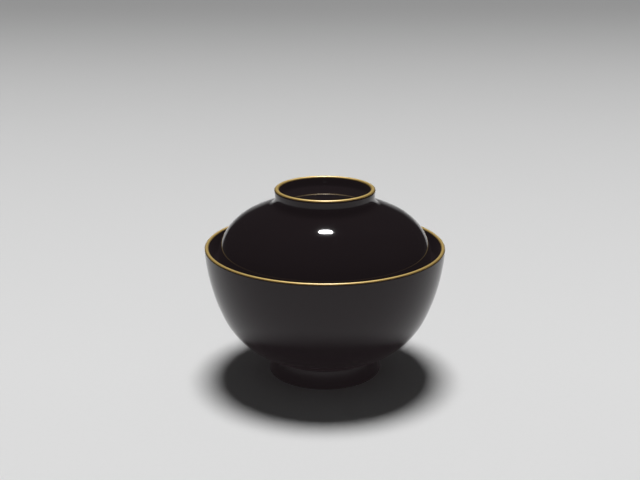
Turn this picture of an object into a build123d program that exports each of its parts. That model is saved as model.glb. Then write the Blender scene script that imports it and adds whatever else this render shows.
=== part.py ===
from build123d import *
import os
from math import acos, asin, cos, degrees, radians, sin, tan

# Lidded lacquer soup bowl: turned wood cores, cloth bands, lacquer coats and gold lips.
# Millimetres and degrees, +Z up, origin on the axis at the plane the foot ring stands on.
# Every section is drawn as (radius, height) and turned about the axis.

# Bowl, outside
rim_radius = 60.0
rim_height = 66.8
lip_width = 2.0
wall_lean = 3.2
wall_radius = 96.7
belly_start_height = 32.4
belly_radius = 41.4
foot_radius = 28.5
foot_root_round = 0.8

# Foot ring
foot_ring_width = 4.4
foot_lean = 9.0
foot_recess_depth = 6.5
foot_recess_round = 2.0
tread_round = 0.8

# Bowl, inside: a ledge below the lip carries the lid
mouth_lean = 5.0
ledge_depth = 9.0
ledge_round = 0.8
bowl_floor_height = 14.0
bowl_floor_round = 38.0

# Lid in the mouth: the gap beside it, and how far its edge laps over the ledge
lid_side_gap = 4.2
seat_lap = 1.6
lid_seat_gap = 0.2

# Lid dome, from its upright side to the crown
lid_side_height = 0.8
shoulder_radius = 26.0
shoulder_turn = 48.8
flank_radius = 28.2
crown_radius = 88.0
lid_wall = 4.0
lid_edge_round = 0.6

# Flange under the lid, which keeps it central in the seat opening
flange_depth = 3.0
flange_clearance = 0.4

# Grip ring on the lid and the cup inside it
grip_radius = 25.0
grip_rise = 8.0
grip_lip_width = 2.4
grip_lean = 7.0
grip_root_round = 5.0
cup_depth = 5.0
cup_lean = 5.0
cup_floor_round = 1.8

# Layers
lacquer = 0.4
cloth = 0.25
rim_cloth_height = 7.0
lid_cloth_height = 4.0
rim_gold_drop = 0.6
grip_gold_drop = 0.7

# Worked out from the sizes above
lip_round = lip_width / 2
mouth_radius = rim_radius - lip_width
lid_radius = mouth_radius - lid_side_gap
seat_opening_radius = lid_radius - seat_lap
lip_center = (rim_radius - lip_round, rim_height - lip_round)
tread_center = (foot_radius - tread_round, tread_round)
foot_recess_radius = foot_radius - foot_ring_width
ledge_height = rim_height - ledge_depth
seat_height = ledge_height + lid_seat_gap
flange_bottom = seat_height - flange_depth
flange_radius = seat_opening_radius - flange_clearance
grip_lip_round = grip_lip_width / 2
reach = 4 * (rim_radius + rim_height)


def on_circle(center, radius, angle):
    """The point of a circle at an angle above the outward direction."""
    return (center[0] + radius * cos(radians(angle)), center[1] + radius * sin(radians(angle)))


def along(point, angle):
    """How far out a point lies in the direction at an angle above the outward one."""
    return point[0] * cos(radians(angle)) + point[1] * sin(radians(angle))


def arc(center, radius, start, end):
    """An arc about a centre from one angle to another."""
    points = [on_circle(center, radius, angle) for angle in (start, (start + end) / 2, end)]
    return ThreePointArc(*points)


def region(*edges):
    """The flat face inside a closed run of edges."""
    return make_face(Curve() + list(edges))


def box(inner, outer, low, high):
    """A rectangle between two radii and two heights."""
    return Pos((inner + outer) / 2, (low + high) / 2) * Rectangle(outer - inner, high - low)


def between(low, high):
    """Everything between two heights."""
    return box(0, reach, low, high)


def rounded(section, place, radius):
    """The section with its corner nearest to a place rounded, or left sharp where no round is left."""
    if radius <= 0:
        return section
    return fillet(section.vertices().sort_by_distance((*place, 0))[0], radius)


def turned(section):
    """The solid of a section turned about the upright axis."""
    return Rot(90, 0, 0) * revolve(section, Axis.Y, 360)


# Each outline below is drawn at a depth under the finished surface, so that the layers of
# the laminate share their curves: depth 0 is the lacquer, depth of one coat is the wood.


def bowl_outline(depth):
    """Everything inside the bowl's outer surface: lip, wall, belly and foot."""
    wall_center = on_circle(lip_center, lip_round - wall_radius, -wall_lean)
    wall_end = -degrees(asin((wall_center[1] - belly_start_height) / wall_radius))
    belly_center = on_circle(wall_center, wall_radius - belly_radius, wall_end)
    belly_depth_radius = belly_radius - depth
    wall_touch = on_circle(tread_center, tread_round - depth, foot_lean)
    wall_reach = along(wall_touch, foot_lean) - along(belly_center, foot_lean)
    belly_end = foot_lean - degrees(acos(wall_reach / belly_depth_radius))
    foot_top = on_circle(belly_center, belly_depth_radius, belly_end)
    foot_bottom = (wall_touch[0] + (wall_touch[1] - depth) * tan(radians(foot_lean)), depth)
    top = rim_height - depth
    outline = region(
        Line((0, top), (lip_center[0], top)),
        arc(lip_center, lip_round - depth, 90, -wall_lean),
        arc(wall_center, wall_radius - depth, -wall_lean, wall_end),
        arc(belly_center, belly_depth_radius, wall_end, belly_end),
        Polyline(foot_top, foot_bottom, (0, depth), (0, top)),
    )
    outline = rounded(outline, foot_top, foot_root_round + depth)
    return rounded(outline, foot_bottom, tread_round - depth)


def bowl_hollow(depth):
    """The space inside the bowl: mouth, ledge, wall and floor."""
    floor_center = (seat_opening_radius - bowl_floor_round, bowl_floor_height + bowl_floor_round)
    ledge = ledge_height - depth
    opening = seat_opening_radius + depth
    floor = bowl_floor_height - depth
    above = rim_height + lip_round
    lip_end = on_circle(lip_center, lip_round - depth, 180 - mouth_lean)
    ledge_radius = lip_end[0] - (lip_end[1] - ledge) * tan(radians(mouth_lean))
    hollow = region(
        Polyline((0, floor), (0, above), (lip_center[0], above), (lip_center[0], rim_height - depth)),
        arc(lip_center, lip_round - depth, 90, 180 - mouth_lean),
        Polyline(lip_end, (ledge_radius, ledge), (opening, ledge), (opening, floor_center[1])),
        arc(floor_center, bowl_floor_round + depth, 0, -90),
        Line((floor_center[0], floor), (0, floor)),
    )
    hollow = rounded(hollow, (ledge_radius, ledge), ledge_round + depth)
    return rounded(hollow, (opening, ledge), ledge_round - depth)


def foot_recess(depth):
    """The space inside the foot ring, flared where it meets the tread."""
    wall = foot_recess_radius + depth
    ceiling = foot_recess_depth + depth
    recess = rounded(box(0, wall, 0, ceiling), (wall, ceiling), foot_recess_round + depth)
    flare_round = tread_round - depth
    if flare_round <= 0:
        return recess
    flare_center = (foot_recess_radius + tread_round, tread_round)
    flare = region(
        Line((wall, depth), (flare_center[0], depth)),
        arc(flare_center, flare_round, 270, 180),
        Line((wall, tread_round), (wall, depth)),
    )
    return recess + flare


def bowl_body(depth):
    """The bowl with everything above a depth taken off."""
    return bowl_outline(depth) - bowl_hollow(depth) - foot_recess(depth)


def dome(depth, bottom):
    """Everything inside the lid's dome and upright side, down to a bottom height."""
    side = lid_radius - depth
    shoulder_center = (lid_radius - shoulder_radius, seat_height + lid_side_height)
    flank_center = on_circle(shoulder_center, shoulder_radius - flank_radius, shoulder_turn)
    flank_turn = degrees(acos(flank_center[0] / (crown_radius - flank_radius)))
    crown_center = on_circle(flank_center, flank_radius - crown_radius, flank_turn)
    crown_top = crown_center[1] + crown_radius - depth
    return region(
        Line((side, bottom), (side, shoulder_center[1])),
        arc(shoulder_center, shoulder_radius - depth, 0, shoulder_turn),
        arc(flank_center, flank_radius - depth, shoulder_turn, flank_turn),
        arc(crown_center, crown_radius - depth, flank_turn, 90),
        Polyline((0, crown_top), (0, bottom), (side, bottom)),
    )


def dome_height(radius):
    """The height of the dome's surface at a radius."""
    section = dome(0, seat_height) & box(0, radius, seat_height, reach)
    return section.vertices().group_by(Axis.X)[-1].sort_by(Axis.Y)[-1].Y


# The grip ring stands on the dome
grip_root_height = dome_height(grip_radius)
grip_top = grip_root_height + grip_rise
grip_lip_center = (grip_radius - grip_lip_round, grip_top - grip_lip_round)
cup_floor_height = grip_top - cup_depth


def grip_outline(depth):
    """Everything inside the grip ring's outer surface, down into the dome."""
    top = grip_top - depth
    root = grip_root_height - lid_wall
    lip_end = on_circle(grip_lip_center, grip_lip_round - depth, -grip_lean)
    root_radius = lip_end[0] - (lip_end[1] - root) * tan(radians(grip_lean))
    return region(
        Line((0, top), (grip_lip_center[0], top)),
        arc(grip_lip_center, grip_lip_round - depth, 90, -grip_lean),
        Polyline(lip_end, (root_radius, root), (0, root), (0, top)),
    )


def grip_cup(depth):
    """The space inside the grip ring."""
    floor = cup_floor_height - depth
    above = grip_top + grip_lip_round
    lip_end = on_circle(grip_lip_center, grip_lip_round - depth, 180 - cup_lean)
    floor_radius = lip_end[0] - (lip_end[1] - floor) * tan(radians(cup_lean))
    lip_top = (grip_lip_center[0], grip_top - depth)
    cup = region(
        Polyline((0, floor), (0, above), (grip_lip_center[0], above), lip_top),
        arc(grip_lip_center, grip_lip_round - depth, 90, 180 - cup_lean),
        Polyline(lip_end, (floor_radius, floor), (0, floor)),
    )
    return rounded(cup, (floor_radius, floor), cup_floor_round + depth)


def lid_outline(depth):
    """Everything inside the lid's outer surface: dome, grip ring, edge and flange."""
    seat = seat_height + depth
    edge = rounded(dome(depth, seat), (lid_radius - depth, seat), lid_edge_round - depth)
    grip_root = (grip_radius - depth, grip_root_height - depth)
    ringed = rounded(edge + grip_outline(depth), grip_root, grip_root_round + depth)
    return ringed + box(0, flange_radius - depth, flange_bottom + depth, seat + lid_edge_round)


def lid_underside(depth):
    """The space under the lid."""
    return dome(lid_wall - depth, flange_bottom - lid_wall)


def lid_body(depth):
    """The lid with everything above a depth taken off."""
    return lid_outline(depth) - lid_underside(depth) - grip_cup(depth)


def bowl_pieces():
    """The bowl's layers as sections, by name."""
    gold_edge = rim_height - rim_gold_drop
    skin = bowl_body(0) - bowl_body(lacquer)
    outside = bowl_outline(0) - bowl_outline(lacquer)
    inside = bowl_hollow(lacquer) - bowl_hollow(0)
    in_recess = foot_recess(lacquer) - foot_recess(0)
    band = bowl_outline(lacquer) - bowl_outline(lacquer + cloth)
    band = band & between(lip_center[1] - rim_cloth_height, lip_center[1])
    return {
        "bowl_wood_core": bowl_body(lacquer) - band,
        "bowl_rim_cloth": band,
        "bowl_outer_lacquer": outside & between(tread_round, gold_edge),
        "bowl_inner_lacquer": inside & between(0, gold_edge),
        "bowl_recess_lacquer": in_recess & between(tread_round, reach),
        "bowl_tread_lacquer": skin & between(0, tread_round),
        "bowl_rim_gold": skin & between(gold_edge, rim_height),
    }


def lid_pieces():
    """The lid's layers as sections, by name."""
    gold_edge = grip_top - grip_gold_drop
    side_bottom = seat_height + lid_edge_round
    skin = lid_body(0) - lid_body(lacquer)
    outside = lid_outline(0) - lid_outline(lacquer) - grip_cup(lacquer)
    inside = (lid_underside(lacquer) - lid_underside(0)) & between(side_bottom, reach)
    in_cup = grip_cup(lacquer) - grip_cup(0)
    band = dome(lacquer, seat_height) - dome(lacquer + cloth, seat_height)
    band = band & between(side_bottom, side_bottom + lid_cloth_height)
    return {
        "lid_wood_core": lid_body(lacquer) - band,
        "lid_edge_cloth": band,
        "lid_outer_lacquer": outside & between(side_bottom, gold_edge),
        "lid_inner_lacquer": inside + (skin & between(0, side_bottom)),
        "lid_cup_lacquer": in_cup & between(0, gold_edge),
        "lid_grip_gold": skin & between(gold_edge, grip_top),
    }


os.makedirs("parts", exist_ok=True)
for name, section in {**bowl_pieces(), **lid_pieces()}.items():
    export_step(turned(section), f"parts/{name}.step")
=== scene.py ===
# Looks of a lidded lacquer soup bowl. Metres and degrees, +Z up, the bowl's axis through the origin.

import math

import bmesh
import bpy
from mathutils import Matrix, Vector


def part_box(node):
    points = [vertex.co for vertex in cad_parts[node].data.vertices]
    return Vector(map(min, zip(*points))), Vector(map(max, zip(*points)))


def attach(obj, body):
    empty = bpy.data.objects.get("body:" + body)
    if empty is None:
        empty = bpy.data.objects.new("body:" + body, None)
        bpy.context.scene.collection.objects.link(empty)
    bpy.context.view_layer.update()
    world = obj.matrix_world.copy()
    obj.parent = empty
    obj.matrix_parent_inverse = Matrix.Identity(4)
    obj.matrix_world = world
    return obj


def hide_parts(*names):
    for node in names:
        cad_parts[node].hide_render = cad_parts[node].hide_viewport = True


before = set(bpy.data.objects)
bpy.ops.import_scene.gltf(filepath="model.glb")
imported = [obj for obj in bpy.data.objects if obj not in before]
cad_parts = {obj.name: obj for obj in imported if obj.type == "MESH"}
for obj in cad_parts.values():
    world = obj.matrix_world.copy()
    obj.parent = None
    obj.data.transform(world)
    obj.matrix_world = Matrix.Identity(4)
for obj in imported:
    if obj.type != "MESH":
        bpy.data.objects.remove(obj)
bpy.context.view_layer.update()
MM = 0.001

# Sizes that the frame gives
rim_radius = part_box("bowl_outer_lacquer")[1].x
rim_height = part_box("bowl_rim_gold")[1].z
foot_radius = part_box("bowl_tread_lacquer")[1].x
tread_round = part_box("bowl_tread_lacquer")[1].z
lid_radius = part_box("lid_outer_lacquer")[1].x
lid_side_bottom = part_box("lid_outer_lacquer")[0].z
flange_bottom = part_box("lid_inner_lacquer")[0].z
grip_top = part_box("lid_grip_gold")[1].z
rim_gold_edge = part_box("bowl_rim_gold")[0].z
grip_gold_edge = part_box("lid_grip_gold")[0].z

# Curves and layers of the bowl
lacquer = 0.4 * MM
lip_round = 1.0 * MM
wall_lean = 3.2
wall_radius = 96.7 * MM
belly_start_height = 32.4 * MM
belly_radius = 41.4 * MM
foot_root_round = 0.8 * MM
foot_ring_width = 4.4 * MM
foot_lean = 9.0
foot_recess_depth = 6.5 * MM
foot_recess_round = 2.0 * MM
mouth_lean = 5.0
ledge_depth = 9.0 * MM
ledge_round = 0.8 * MM
seat_lap = 1.6 * MM
bowl_floor_height = 14.0 * MM
bowl_floor_round = 38.0 * MM

# Curves of the lid
lid_edge_round = 0.6 * MM
lid_side_height = 0.8 * MM
shoulder_radius = 26.0 * MM
shoulder_turn = 48.8
flank_radius = 28.2 * MM
crown_radius = 88.0 * MM
lid_wall = 4.0 * MM
flange_clearance = 0.4 * MM
grip_radius = 25.0 * MM
grip_lip_round = 1.2 * MM
grip_lean = 7.0
grip_root_round = 5.0 * MM
cup_depth = 5.0 * MM
cup_lean = 5.0
cup_floor_round = 1.8 * MM

# Gold stands a hair proud of the lacquer, and its edge strays as a brush does, in waves round the ring
gold_proud = 0.03 * MM
gold_stray = 5.0
gold_waves = ((5, 1, 0.5), (13, 2, 0.3), (29, -1, 0.2))
outer_edge_phase = 0.7
inner_edge_phase = 2.1

# Fineness of the turned meshes
turn_steps = 192
gold_steps = 24
path_step = 0.7 * MM
arc_step = 6.0
crown_last_angle = 89.0
same_point = 0.001 * MM
sharp_angle = 40.0

# Black lacquer: light bends little into the cured sap, and a painted glow keeps it off pure black
bowl_black = (0.006, 0.0046, 0.0052)
lid_black = (0.006, 0.0045, 0.0050)
bowl_roughness = 0.14
lid_roughness = 0.05
lacquer_index = 1.35
painted_lacquer_glow = (0.0091, 0.0066, 0.0074, 1.0)
clouds_per_metre = 60.0
cloud_contrast = 0.15
polish_marks_per_metre = 2500.0
polish_mark_drift = 2.0 * MM
polish_contrast = 0.4
peel_per_metre = 900.0
peel_strength = 0.02

# Gold: redder and paler stretches, worn specks, and thin brown edges of painted shade
gold_red = (0.90, 0.60, 0.16, 1.0)
gold_pale = (0.96, 0.72, 0.26, 1.0)
gold_worn_and_edge_shade = (0.16, 0.065, 0.010, 1.0)
stretches_per_metre = 90.0
gold_grain_per_metre = 1600.0
gold_grain_strength = 0.15
specks_per_metre = 700.0
speck_start = 0.68
speck_full = 0.74
speck_wear = 0.5
edge_shade_strength = 0.9
edge_rag = 0.2 * MM
gold_metallic = 0.65
metallic_lost = 0.3
gold_roughness = 0.44
grain_roughness = 0.12
gold_coat_roughness = 0.3
gold_coat_index = 1.8

# Wood under the coats
wood_dark = (0.30, 0.17, 0.08, 1.0)
wood_light = (0.50, 0.33, 0.18, 1.0)
ring_spacing = 2.417 * MM
ring_contrast = 0.25
ring_wander = 9.0
wanders_per_metre = 25.0
fibres_per_metre = (900.0, 40.0, 900.0)
fibre_contrast = 0.5
fibre_strength = 0.2
wood_roughness = 0.55
fibre_roughness = 0.2

# Cloth under the coats
cloth_dark = (0.26, 0.20, 0.12, 1.0)
cloth_light = (0.50, 0.42, 0.29, 1.0)
warp_waves = 300.0
weft_spacing = 1.2 * MM
weave_height = 0.1 * MM
weave_strength = 0.4
cloth_roughness = 0.8
weave_roughness = 0.1

# How high the finest marks of the lacquer, the gold and the wood stand
mark_height = 0.05 * MM

# Studio floor: pale paper with painted light falloff, dimmer far behind, and to every side beyond a
# distance
floor_half_width = 30.0
floor_near = 0.826
floor_far = 0.316
dimming_start = -0.5
dimming_end = 2.1
side_dimming_start = 1.0
floor_roughness = 0.9
paper_fibres_per_metre = 400.0
paper_contrast = 0.02

# In the gloss the paper is pale only in a painted pool of light round the bowl that widens behind it, and
# what lies beyond is painted shade
pool_round_start = 0.22
pool_round_end = 0.36
pool_widens_from = 0.525
pool_least_depth = 0.1
pool_slope_start = 0.32
pool_slope_end = 0.40
pool_back_start = -0.2
pool_back_end = 0.0
pool_surround_shade = 0.06

# Room: a faint even light, and a pale backdrop low down behind
ambient = 0.045
horizon = 0.30
dim_room = 0.01
backdrop_start = 0.90
backdrop_full = 0.99
backdrop_top = 0.16

# Lamps, at angles behind straight up: a broad one for the shadow, and a small one for the highlight
key_strength = 2.8
key_spread = 18.0
key_back = 10.5
key_distance = 2.0
spark_power = 6.0
spark_width = 0.13
spark_depth = 0.065
spark_back = 22.0
spark_right = 0.55
spark_distance = 1.2

# Camera, with its lens and sensor in millimetres
lens = 61.875
sensor_width = 36.0
camera_place = (-2.41 * MM, -525.3 * MM, 234.44 * MM)
camera_tilt = 72.496


def on_circle(center, radius, angle):
    """The point of a circle at an angle above the outward direction."""
    turn = math.radians(angle)
    return (center[0] + radius * math.cos(turn), center[1] + radius * math.sin(turn))


def along(point, angle):
    """How far out a point lies in the direction at an angle above the outward one."""
    turn = math.radians(angle)
    return point[0] * math.cos(turn) + point[1] * math.sin(turn)


def point_at(height, reach, angle):
    """The point at a height that lies so far out in the direction at an angle."""
    turn = math.radians(angle)
    return ((reach - height * math.sin(turn)) / math.cos(turn), height)


def arc(center, radius, start, end, count=0):
    """Points along an arc about a centre between two angles, in as many steps as it needs or is given."""
    sweep = abs(end - start)
    needed = max(2, math.ceil(sweep / arc_step), math.ceil(radius * math.radians(sweep) / path_step))
    count = count or needed
    return [on_circle(center, radius, start + (end - start) * step / count) for step in range(count + 1)]


# Worked out from the sizes above
lip_center = (rim_radius - lip_round, rim_height - lip_round)
ledge_height = rim_height - ledge_depth
seat_opening_radius = lid_radius - seat_lap
wall_center = on_circle(lip_center, lip_round - wall_radius, -wall_lean)
wall_end = -math.degrees(math.asin((wall_center[1] - belly_start_height) / wall_radius))
belly_center = on_circle(wall_center, wall_radius - belly_radius, wall_end)
floor_center = (seat_opening_radius - bowl_floor_round, bowl_floor_height + bowl_floor_round)
recess_radius = foot_radius - foot_ring_width
tread_center = (foot_radius - tread_round, tread_round)

seat_height = lid_side_bottom - lid_edge_round
flange_radius = seat_opening_radius - flange_clearance
shoulder_center = (lid_radius - shoulder_radius, seat_height + lid_side_height)
flank_center = on_circle(shoulder_center, shoulder_radius - flank_radius, shoulder_turn)
flank_turn = math.degrees(math.acos(flank_center[0] / (crown_radius - flank_radius)))
crown_center = on_circle(flank_center, flank_radius - crown_radius, flank_turn)
grip_lip_center = (grip_radius - grip_lip_round, grip_top - grip_lip_round)
cup_floor_height = grip_top - cup_depth


# Each path below runs at a depth under the finished surface, so that a coat is the strip between two paths


def bowl_outside(depth):
    """From the top of the lip down the wall, belly and foot to the tread."""
    edge = tread_round - depth
    root_round = foot_root_round + depth
    reach = belly_radius - depth + root_round
    root_across = along(tread_center, foot_lean) + edge + root_round - along(belly_center, foot_lean)
    root_turn = foot_lean - math.degrees(math.acos(root_across / reach))
    root_center = on_circle(belly_center, reach, root_turn)
    return [
        *arc(lip_center, lip_round - depth, 90, -wall_lean),
        *arc(wall_center, wall_radius - depth, -wall_lean, wall_end),
        *arc(belly_center, belly_radius - depth, wall_end, root_turn),
        *arc(root_center, root_round, root_turn + 180, foot_lean + 180),
        *arc(tread_center, edge, foot_lean, 0),
    ]


def bowl_inside(depth):
    """From the top of the lip down the mouth, over the ledge and down to the middle of the floor."""
    lip = lip_round - depth
    ledge = ledge_height - depth
    opening = seat_opening_radius + depth
    corner = ledge_round + depth
    edge = ledge_round - depth
    inward = 180 - mouth_lean
    corner_center = point_at(ledge + corner, along(lip_center, inward) + lip + corner, inward)
    return [
        *arc(lip_center, lip, 90, inward),
        *arc(corner_center, corner, -mouth_lean, -90),
        *arc((opening + edge, ledge - edge), edge, 90, 180),
        *arc(floor_center, bowl_floor_round + depth, 0, -90),
        (0, bowl_floor_height - depth),
    ]


def foot_recess(depth):
    """From the middle of the recess out to its wall and down to the tread."""
    wall = recess_radius + depth
    ceiling = foot_recess_depth + depth
    corner = foot_recess_round + depth
    return [(0, ceiling), *arc((wall - corner, ceiling - corner), corner, 90, 0), (wall, tread_round)]


def foot_tread(depth):
    """Round the underside of the foot ring, from its outside to its recess."""
    edge = tread_round - depth
    inner = (recess_radius + tread_round, tread_round)
    return [*arc(tread_center, edge, 0, -90), *arc(inner, edge, -90, -180)]


def lid_outside(depth):
    """From the top of the grip ring's lip down its wall and over the dome to the lid's edge."""
    root_round = grip_root_round + depth
    reach = crown_radius - depth + root_round
    lip_across = along(grip_lip_center, -grip_lean) - along(crown_center, -grip_lean)
    root_across = lip_across + grip_lip_round - depth + root_round
    root_turn = math.degrees(math.acos(root_across / reach)) - grip_lean
    root_center = on_circle(crown_center, reach, root_turn)
    return [
        *arc(grip_lip_center, grip_lip_round - depth, 90, -grip_lean),
        *arc(root_center, root_round, 180 - grip_lean, 180 + root_turn),
        *arc(crown_center, crown_radius - depth, root_turn, flank_turn),
        *arc(flank_center, flank_radius - depth, flank_turn, shoulder_turn),
        *arc(shoulder_center, shoulder_radius - depth, shoulder_turn, 0),
        (lid_radius - depth, lid_side_bottom),
    ]


def lid_underside(depth):
    """From the lid's edge round its seat and flange and up under the dome to its middle."""
    thickness = lid_wall - depth
    edge_center = (lid_radius - lid_edge_round, lid_side_bottom)
    flange = flange_radius - depth
    return [
        *arc(edge_center, lid_edge_round - depth, 0, -90),
        (flange, seat_height + depth),
        (flange, flange_bottom + depth),
        (lid_radius - thickness, flange_bottom + depth),
        *arc(shoulder_center, shoulder_radius - thickness, 0, shoulder_turn),
        *arc(flank_center, flank_radius - thickness, shoulder_turn, flank_turn),
        *arc(crown_center, crown_radius - thickness, flank_turn, crown_last_angle),
        (0, crown_center[1] + crown_radius - thickness),
    ]


def grip_cup(depth):
    """From the top of the grip ring's lip down inside to the middle of the cup's floor."""
    lip = grip_lip_round - depth
    floor = cup_floor_height - depth
    corner = cup_floor_round + depth
    inward = 180 - cup_lean
    corner_center = point_at(floor + corner, along(grip_lip_center, inward) + lip + corner, inward)
    return [
        *arc(grip_lip_center, lip, 90, inward),
        *arc(corner_center, corner, -cup_lean, -90),
        (0, floor),
    ]


def coat(path):
    """The section of a coat of lacquer along a path, the same all round, with no point given twice."""
    strip = path(0) + path(lacquer)[::-1]
    neighbours = zip(strip, strip[-1:] + strip)
    section = [point for point, last in neighbours if math.dist(point, last) > same_point]
    return lambda turn: section


def stray(turn, phase):
    """How far a brushed edge strays. Each wave has a count, a share of the phase and a weight."""
    waves = (weight * math.sin(count * turn + share * phase) for count, share, weight in gold_waves)
    return gold_stray * sum(waves)


def gold_cap(center, lip, edge_height):
    """The section of the gold over a lip, at a place round the ring."""
    edge = math.degrees(math.asin((edge_height - center[1]) / lip))

    def section(turn):
        outer = edge + stray(turn, outer_edge_phase)
        inner = 180 - edge - stray(turn, inner_edge_phase)
        over = arc(center, lip + gold_proud, outer, inner, gold_steps)
        under = arc(center, lip - gold_proud, inner, outer, gold_steps)
        return over + under

    return section


def turned_mesh(name, section_at):
    """A closed mesh with a section turned about the axis, where a point on the axis is one corner."""
    turns = [2 * math.pi * step / turn_steps for step in range(turn_steps)]
    sections = [section_at(turn) for turn in turns]
    shell = bmesh.new()
    rows = []
    for place, (radius, height) in enumerate(sections[0]):
        if radius == 0:
            rows.append([shell.verts.new((0, 0, height))])
            continue
        row = []
        for turn, section in zip(turns, sections):
            radius, height = section[place]
            row.append(shell.verts.new((radius * math.cos(turn), radius * math.sin(turn), height)))
        rows.append(row)
    for row, below in zip(rows, rows[1:] + rows[:1]):
        for step in range(turn_steps):
            after = (step + 1) % turn_steps
            upper = [row[step % len(row)], row[after % len(row)]]
            lower = [below[after % len(below)], below[step % len(below)]]
            corners = list(dict.fromkeys(upper + lower))
            if len(corners) > 2:
                shell.faces.new(corners)
    bmesh.ops.recalc_face_normals(shell, faces=shell.faces)
    mesh = bpy.data.meshes.new(name)
    shell.to_mesh(mesh)
    shell.free()
    mesh.shade_smooth()
    mesh.set_sharp_from_angle(angle=math.radians(sharp_angle))
    return mesh


def turned_piece(name, section_at, body, finish):
    """A turned piece that rides on a body in place of the node of its name."""
    mesh = turned_mesh(name, section_at)
    mesh.materials.append(finish)
    piece = bpy.data.objects.new(name + "_finish", mesh)
    bpy.context.scene.collection.objects.link(piece)
    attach(piece, body)
    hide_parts(name)


# Shader maths: operators on a node's output add Math nodes


class Value:
    """A node's output that can be used in an expression."""

    def __init__(self, nodes, socket):
        self.nodes = nodes
        self.socket = socket

    def __add__(self, other):
        return self.nodes.math("ADD", self, other)

    def __radd__(self, other):
        return self.nodes.math("ADD", other, self)

    def __sub__(self, other):
        return self.nodes.math("SUBTRACT", self, other)

    def __rsub__(self, other):
        return self.nodes.math("SUBTRACT", other, self)

    def __mul__(self, other):
        return self.nodes.math("MULTIPLY", self, other)

    def __rmul__(self, other):
        return self.nodes.math("MULTIPLY", other, self)

    def __truediv__(self, other):
        return self.nodes.math("DIVIDE", self, other)

    def __rtruediv__(self, other):
        return self.nodes.math("DIVIDE", other, self)


class Nodes:
    """The node tree of a material or of the world."""

    def __init__(self, owner):
        owner.use_nodes = True
        self.tree = owner.node_tree
        self.tree.nodes.clear()

    def add(self, kind, settings=None, inputs=None, output=0):
        """A node of a kind, with its settings set first and then its inputs; gives one of its outputs."""
        node = self.tree.nodes.new(kind)
        for name, setting in (settings or {}).items():
            setattr(node, name, setting)
        for name, value in (inputs or {}).items():
            if isinstance(value, Value):
                self.tree.links.new(value.socket, node.inputs[name])
            else:
                node.inputs[name].default_value = value
        return Value(self, node.outputs[output]) if node.outputs else None

    def math(self, operation, *values):
        """The result of a Math node on values."""
        return self.add("ShaderNodeMath", {"operation": operation}, dict(enumerate(values)))

    def larger(self, first, second):
        """The larger of two values."""
        return self.math("MAXIMUM", first, second)

    def mix(self, factor, first, second):
        """A colour between two colours."""
        return self.add("ShaderNodeMix", {"data_type": "RGBA"}, {0: factor, 6: first, 7: second}, output=2)

    def ramp(self, value, low, high, start=0.0, end=1.0):
        """A value that goes smoothly from start to end as another goes from low to high."""
        ends = {"Value": value, "From Min": low, "From Max": high, "To Min": start, "To Max": end}
        return self.add("ShaderNodeMapRange", {"interpolation_type": "SMOOTHSTEP"}, ends)

    def noise(self, place, scale, detail=2.0):
        """A soft random value about 0.5."""
        return self.add("ShaderNodeTexNoise", None, {"Vector": place, "Scale": scale, "Detail": detail})

    def bump(self, height, distance, strength):
        """A normal that follows a height."""
        relief = {"Strength": strength, "Distance": distance, "Height": height}
        return self.add("ShaderNodeBump", None, relief)

    def place(self):
        """Where a point of the piece is, in the frame."""
        return self.add("ShaderNodeTexCoord", output="Object")

    def ray(self, kind):
        """Whether the ray that sees a point is of a kind, as 1 or 0."""
        return self.add("ShaderNodeLightPath", output=kind)

    def split(self, vector):
        """The three parts of a vector."""
        first = self.add("ShaderNodeSeparateXYZ", None, {"Vector": vector})
        return [Value(self, socket) for socket in first.socket.node.outputs]

    def round_place(self, place):
        """A place's distance from the axis, its turn round the axis and its height."""
        across, back, height = self.split(place)
        radius = self.math("SQRT", across * across + back * back)
        turn = self.math("ARCTAN2", back, across)
        return radius, turn, height

    def surface(self, inputs):
        """Ends a material's tree in a surface with these inputs."""
        shader = self.add("ShaderNodeBsdfPrincipled", None, inputs)
        self.add("ShaderNodeOutputMaterial", None, {"Surface": shader})


def black_lacquer(name, shade, roughness):
    """Polished black lacquer: a warm black with faint clouds, fine turning marks and a trace of painted
    glow.
    """
    material = bpy.data.materials.new(name)
    nodes = Nodes(material)
    place = nodes.place()
    radius, turn, height = nodes.round_place(place)
    drift = turn * polish_mark_drift
    rings = nodes.add("ShaderNodeCombineXYZ", None, {"X": radius, "Y": height, "Z": drift})
    cloud = nodes.noise(place, clouds_per_metre)
    polish = nodes.noise(rings, polish_marks_per_metre, detail=3.0)
    peel = nodes.noise(place, peel_per_metre, detail=1.0)
    dark = [*(part * (1 - cloud_contrast) for part in shade), 1.0]
    light = [*(part * (1 + cloud_contrast) for part in shade), 1.0]
    nodes.surface({
        "Base Color": nodes.mix(cloud, dark, light),
        "Roughness": roughness * (1 + polish_contrast * (polish - 0.5)),
        "IOR": lacquer_index,
        # Painted glow: the lacquer gives off a faint light of its own, though it is no lamp
        "Emission Color": painted_lacquer_glow,
        "Emission Strength": 1.0,
        "Normal": nodes.bump(peel, mark_height, peel_strength),
    })
    return material


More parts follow.
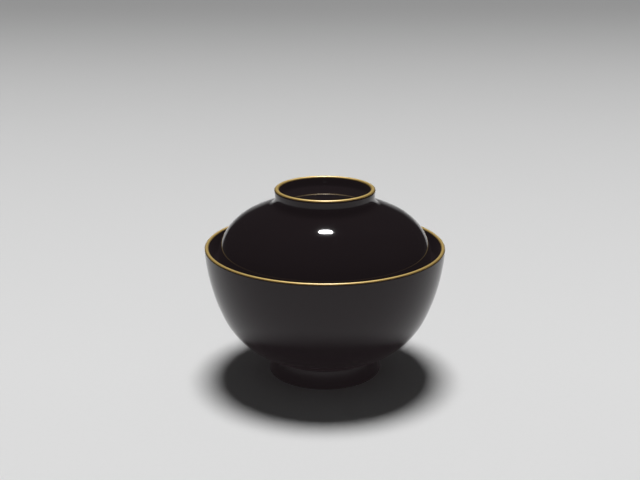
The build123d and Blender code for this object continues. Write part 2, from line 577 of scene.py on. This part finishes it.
def laid_gold(name, top, edge):
    """Burnished gold over lacquer, from the top of a lip down to the gold's edge, with worn specks and
    painted shade at its edges.
    """
    material = bpy.data.materials.new(name)
    nodes = Nodes(material)
    place = nodes.place()
    height = nodes.split(place)[2]
    stretch = nodes.noise(place, stretches_per_metre)
    grain = nodes.noise(place, gold_grain_per_metre, detail=3.0)
    speck = nodes.ramp(nodes.noise(place, specks_per_metre), speck_start, speck_full)
    # Painted shade: the gold turns brown towards its edges; the specks are real wear
    edge_shade = nodes.ramp(height + (grain - 0.5) * edge_rag, edge, top, 1.0, 0.0)
    wear_and_edge_shade = nodes.larger(speck_wear * speck, edge_shade_strength * edge_shade)
    gold = nodes.mix(stretch, gold_red, gold_pale)
    nodes.surface({
        "Base Color": nodes.mix(wear_and_edge_shade, gold, gold_worn_and_edge_shade),
        "Metallic": gold_metallic - metallic_lost * wear_and_edge_shade,
        "Roughness": gold_roughness + grain_roughness * grain,
        "Coat Weight": 1 - wear_and_edge_shade,
        "Coat Roughness": gold_coat_roughness,
        "Coat IOR": gold_coat_index,
        "Normal": nodes.bump(grain, mark_height, gold_grain_strength),
    })
    return material


def turned_wood():
    """The bare wood under the coats: growth rings across a straight grain."""
    material = bpy.data.materials.new("turned_wood")
    nodes = Nodes(material)
    place = nodes.place()
    wander = nodes.noise(place, wanders_per_metre, detail=3.0)
    across = nodes.split(place)[0]
    rings = nodes.math("SINE", across * (2 * math.pi / ring_spacing) + wander * ring_wander)
    drawn_out = nodes.add("ShaderNodeMapping", None, {"Vector": place, "Scale": fibres_per_metre})
    fibre = nodes.noise(drawn_out, scale=1.0, detail=4.0)
    grain = 0.5 + ring_contrast * rings + fibre_contrast * (fibre - 0.5)
    nodes.surface({
        "Base Color": nodes.mix(grain, wood_dark, wood_light),
        "Roughness": wood_roughness + fibre_roughness * fibre,
        "Normal": nodes.bump(fibre, mark_height, fibre_strength),
    })
    return material


def hemp_cloth():
    """The cloth band under the coats: a plain weave set in sap."""
    material = bpy.data.materials.new("hemp_cloth")
    nodes = Nodes(material)
    turn, height = nodes.round_place(nodes.place())[1:]
    warp = nodes.math("SINE", turn * warp_waves)
    weft = nodes.math("SINE", height * (2 * math.pi / weft_spacing))
    weave = 0.5 + 0.5 * (warp * weft)
    nodes.surface({
        "Base Color": nodes.mix(weave, cloth_dark, cloth_light),
        "Roughness": cloth_roughness + weave_roughness * weave,
        "Normal": nodes.bump(weave, weave_height, weave_strength),
    })
    return material


def floor_paper():
    """Pale matt paper with painted light falloff, dimmer far off. The gloss sees a painted pool of light
    round the bowl, the camera doesn't.
    """
    material = bpy.data.materials.new("pale_floor")
    nodes = Nodes(material)
    place = nodes.place()
    across, back = nodes.split(place)[:2]
    reach = nodes.math("SQRT", across * across + back * back)
    away = nodes.larger(nodes.larger(back, reach - side_dimming_start), 0.0)
    # Painted light falloff: the paper's colour darkens with distance behind and to the sides
    painted_falloff = nodes.ramp(away, dimming_start, dimming_end, floor_near, floor_far)
    fibre = nodes.noise(place, paper_fibres_per_metre, detail=3.0)
    paper = painted_falloff * (1 + paper_contrast * (fibre - 0.5))

    # Painted pool of light: to rays other than the camera's, the paper is pale only round the bowl and
    # painted dark beyond
    slope = nodes.math("ABSOLUTE", across) / nodes.larger(back + pool_widens_from, pool_least_depth)
    pool_round = nodes.ramp(reach, pool_round_start, pool_round_end, 1.0, pool_surround_shade)
    pool_sides = nodes.ramp(slope, pool_slope_start, pool_slope_end, 1.0, pool_surround_shade)
    pool_back = pool_sides * nodes.ramp(back, pool_back_start, pool_back_end)
    painted_pool = nodes.larger(nodes.larger(pool_round, pool_back), nodes.ray("Is Camera Ray"))

    shade = paper * painted_pool
    grey = nodes.add("ShaderNodeCombineColor", None, {"Red": shade, "Green": shade, "Blue": shade})
    nodes.surface({
        "Base Color": grey,
        "Roughness": floor_roughness,
        "Specular IOR Level": 0.0,
    })
    return material


def studio_floor():
    """The floor under the bowl, which isn't part of it."""
    half = floor_half_width
    corners = [(-half, -half, 0), (half, -half, 0), (half, half, 0), (-half, half, 0)]
    mesh = bpy.data.meshes.new("studio_floor")
    mesh.from_pydata(corners, [], [(0, 1, 2, 3)])
    mesh.materials.append(floor_paper())
    floor = bpy.data.objects.new("studio_floor", mesh)
    bpy.context.scene.collection.objects.link(floor)


def studio_room():
    """A faint even light, and a pale backdrop low down behind that the camera and the gloss see."""
    world = bpy.data.worlds.new("studio_room")
    bpy.context.scene.world = world
    nodes = Nodes(world)
    back, up = nodes.split(nodes.add("ShaderNodeTexCoord", output="Generated"))[1:]
    behind = nodes.ramp(back, backdrop_start, backdrop_full) * nodes.ramp(up, 0.0, backdrop_top, 1.0, 0.0)
    room = dim_room + (horizon - dim_room) * behind
    camera_ray = nodes.ray("Is Camera Ray")
    seen = nodes.larger(nodes.ray("Is Glossy Ray"), nodes.ray("Is Transmission Ray"))
    level = camera_ray * horizon + seen * room + (1 - camera_ray) * (1 - seen) * ambient
    background = nodes.add("ShaderNodeBackground", None, {"Color": (1, 1, 1, 1), "Strength": level})
    nodes.add("ShaderNodeOutputWorld", None, {"Surface": background})


def behind_overhead(back, right=0.0):
    """The direction at an angle behind straight up and an angle to the right."""
    back = math.radians(back)
    return Vector((math.tan(math.radians(right)), math.sin(back), math.cos(back)))


def aimed_lamp(light, direction, distance):
    """A lamp at a distance from the bowl in a direction, aimed at it."""
    lamp = bpy.data.objects.new(light.name, light)
    lamp.location = direction.normalized() * distance
    lamp.rotation_euler = direction.to_track_quat("Z", "Y").to_euler()
    bpy.context.scene.collection.objects.link(lamp)
    return lamp


def key_lamp():
    """The broad lamp overhead that lights the floor and casts the shadow."""
    light = bpy.data.lights.new("overhead_softbox", "SUN")
    light.energy = key_strength
    light.angle = math.radians(key_spread)
    lamp = aimed_lamp(light, behind_overhead(key_back), key_distance)
    lamp.visible_glossy = False


def spark_lamp():
    """The small lamp whose mirror image is the highlight on the lid."""
    light = bpy.data.lights.new("small_lamp", "AREA")
    light.shape = "ELLIPSE"
    light.size = spark_width
    light.size_y = spark_depth
    light.energy = spark_power
    lamp = aimed_lamp(light, behind_overhead(spark_back, spark_right), spark_distance)
    lamp.visible_diffuse = False


def photo_camera():
    """The camera in front of the bowl, looking down at it."""
    camera = bpy.data.cameras.new("camera")
    camera.sensor_width = sensor_width
    camera.lens = lens
    viewpoint = bpy.data.objects.new("camera", camera)
    viewpoint.location = camera_place
    viewpoint.rotation_euler = (math.radians(camera_tilt), 0, 0)
    bpy.context.scene.collection.objects.link(viewpoint)
    bpy.context.scene.camera = viewpoint


def bowl_coats():
    """The black coats of the bowl."""
    coats = {
        "bowl_outer_lacquer": bowl_outside,
        "bowl_inner_lacquer": bowl_inside,
        "bowl_recess_lacquer": foot_recess,
        "bowl_tread_lacquer": foot_tread,
    }
    finish = black_lacquer("bowl_lacquer", bowl_black, bowl_roughness)
    for name, path in coats.items():
        turned_piece(name, coat(path), "bowl", finish)


def lid_coats():
    """The black coats of the lid."""
    coats = {
        "lid_outer_lacquer": lid_outside,
        "lid_inner_lacquer": lid_underside,
        "lid_cup_lacquer": grip_cup,
    }
    finish = black_lacquer("lid_lacquer", lid_black, lid_roughness)
    for name, path in coats.items():
        turned_piece(name, coat(path), "lid", finish)


def gold_lips():
    """The gold on the lips of the bowl and of the grip ring."""
    rim_cap = gold_cap(lip_center, lip_round, rim_gold_edge)
    rim_gold = laid_gold("rim_gold", rim_height, rim_gold_edge)
    turned_piece("bowl_rim_gold", rim_cap, "bowl", rim_gold)
    grip_cap = gold_cap(grip_lip_center, grip_lip_round, grip_gold_edge)
    grip_gold = laid_gold("grip_gold", grip_top, grip_gold_edge)
    turned_piece("lid_grip_gold", grip_cap, "lid", grip_gold)


def hidden_layers():
    """Finishes for the wood cores and the cloth bands under the coats."""
    wood = turned_wood()
    cloth = hemp_cloth()
    finishes = {
        "bowl_wood_core": wood,
        "bowl_rim_cloth": cloth,
        "lid_wood_core": wood,
        "lid_edge_cloth": cloth,
    }
    for node, finish in finishes.items():
        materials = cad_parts[node].data.materials
        materials.clear()
        materials.append(finish)


def main():
    bowl_coats()
    lid_coats()
    gold_lips()
    hidden_layers()
    studio_floor()
    studio_room()
    key_lamp()
    spark_lamp()
    photo_camera()
    bpy.context.scene.view_settings.view_transform = "Standard"


main()
